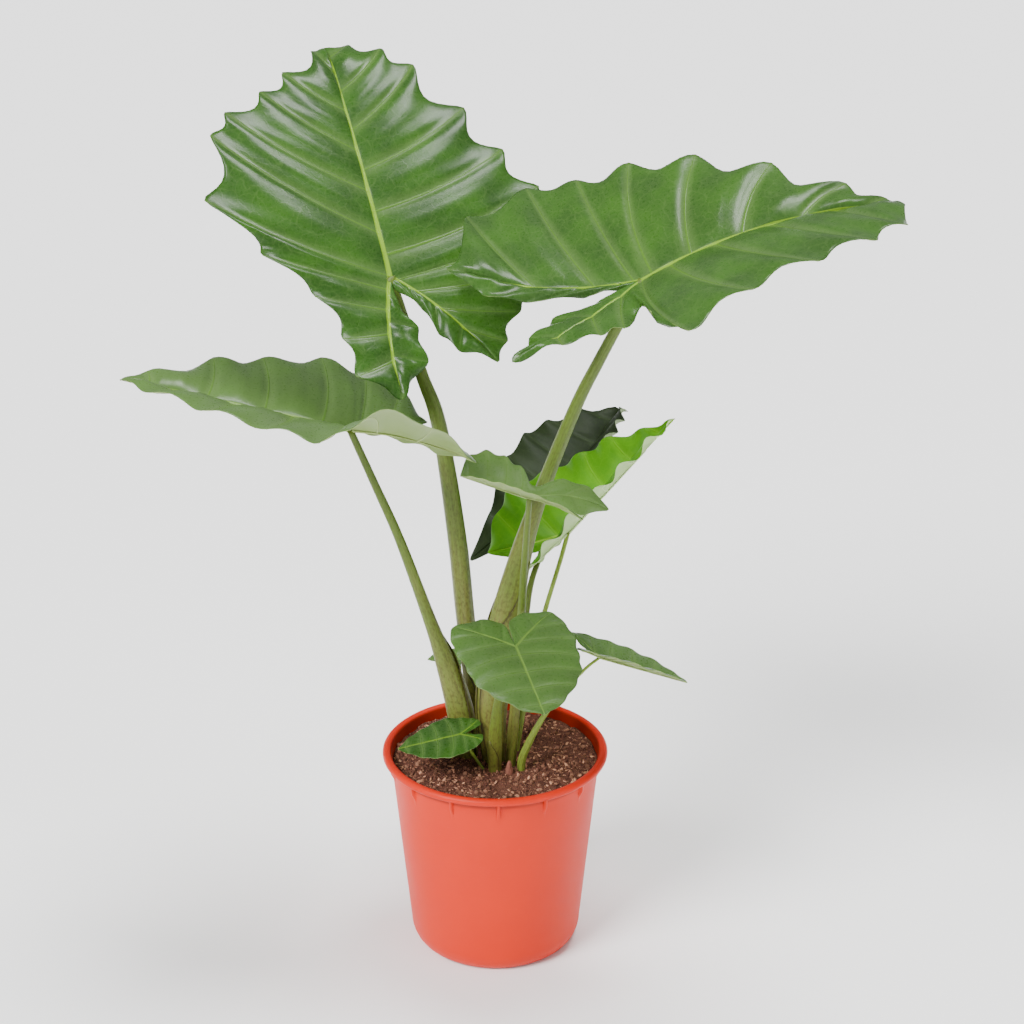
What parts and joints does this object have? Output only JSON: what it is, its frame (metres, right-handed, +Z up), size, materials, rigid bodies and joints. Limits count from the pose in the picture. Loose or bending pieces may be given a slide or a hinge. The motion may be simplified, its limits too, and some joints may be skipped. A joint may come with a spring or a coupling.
{
  "type": "potted alocasia",
  "caption": "Potted alocasia: large scalloped arrow-shaped leaves on long stalks, rising from soil in a tapered round nursery pot with a rolled rim.",
  "frame": {"origin": "centre of the pot's underside, on its middle boss, which stands level with the foot ring", "axes": "+Z up out of the pot, -Y towards the plant's front, +X to its right as seen from the front"},
  "size_m": [0.7719, 0.5592, 0.9149],
  "materials": {
    "pot_plastic": "satin",
    "soil": "matte",
    "leaf_mature": "gloss",
    "leaf_young": "gloss",
    "leaf_dark": "satin",
    "stalk": "satin",
    "stalk_young": "satin",
    "dry_husk": "matte"
  },
  "bodies": {
    "root": {"pot": "pot_plastic", "soil": "soil", "blade_1": "leaf_mature", "blade_2": "leaf_mature", "blade_3": "leaf_mature", "blade_4": "leaf_mature", "blade_5": "leaf_young", "blade_6": "leaf_dark", "blade_7": "leaf_mature", "blade_8": "leaf_mature", "blade_9": "leaf_mature", "blade_10": "leaf_mature", "stalk_1": "stalk", "stalk_2": "stalk", "stalk_3": "stalk", "stalk_4": "stalk", "stalk_5": "stalk_young", "stalk_6": "stalk", "stalk_7": "stalk", "stalk_8": "stalk_young", "stalk_9": "stalk_young", "stalk_10": "stalk_young", "old_stub": "dry_husk"}
  },
  "joints": []
}
